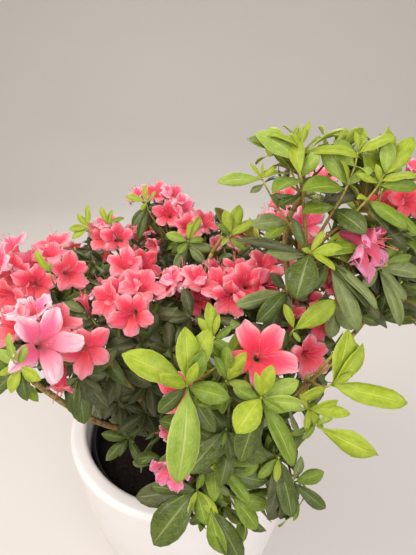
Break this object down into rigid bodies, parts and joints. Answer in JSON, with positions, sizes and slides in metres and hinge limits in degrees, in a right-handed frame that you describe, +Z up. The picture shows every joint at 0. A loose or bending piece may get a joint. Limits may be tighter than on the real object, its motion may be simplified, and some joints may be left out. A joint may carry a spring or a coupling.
{
  "type": "azalea shrub",
  "caption": "Low, spreading azalea shrub in coral-pink blossom, growing in a tapered round white planter that stands on its flat underside.",
  "frame": {"origin": "middle of the planter's flat underside", "axes": "+Z up the planter's axis; -Y towards the shrub's front, from where the picture looks down on it; +X to the right of that view"},
  "size_m": [0.5658, 0.5469, 0.8266],
  "materials": {
    "pot": "satin",
    "liner": "matte",
    "soil": "matte",
    "bark": "matte",
    "foliage": "satin",
    "blossom": "satin"
  },
  "bodies": {
    "root": {"pot": "pot", "liner": "liner", "soil": "soil", "trunk": "bark", "bough_left_near": "bark", "bough_left_far": "bark", "bough_left_inner": "bark", "bough_left_tip": "bark", "bough_centre_left": "bark", "bough_back_left": "bark", "bough_back_mid": "bark", "bough_back_right": "bark", "bough_back_low_left": "bark", "bough_back_low_mid": "bark", "bough_back_low_right": "bark", "bough_centre": "bark", "bough_centre_right": "bark", "bough_centre_shoot": "bark", "bough_right_hub": "bark", "bough_right_top": "bark", "bough_right_crest": "bark", "bough_right_faded": "bark", "bough_right_low": "bark", "bough_right_under": "bark", "bough_right_back": "bark", "bough_right_outer": "bark", "bough_front_middle": "bark", "bough_front_left": "bark", "bough_front_right": "bark", "bough_low_front": "bark", "bough_low_right": "bark", "bough_inner_low": "bark", "foliage_left_near": "blossom", "foliage_left_far": "blossom", "foliage_left_inner": "blossom", "foliage_left_tip": "foliage", "foliage_centre_left": "blossom", "foliage_back_left": "blossom", "foliage_back_mid": "blossom", "foliage_back_right": "blossom", "foliage_back_low_left": "blossom", "foliage_back_low_mid": "blossom", "foliage_back_low_right": "blossom", "foliage_centre": "blossom", "foliage_centre_right": "blossom", "foliage_centre_shoot": "foliage", "foliage_right_hub": "foliage", "foliage_right_top": "foliage", "foliage_right_crest": "foliage", "foliage_right_faded": "foliage", "foliage_right_low": "foliage", "foliage_right_under": "blossom", "foliage_right_back": "blossom", "foliage_right_outer": "blossom", "foliage_front_middle": "foliage", "foliage_front_left": "foliage", "foliage_front_right": "foliage", "foliage_low_front": "foliage", "foliage_low_right": "foliage", "foliage_inner_low": "foliage"}
  },
  "joints": []
}
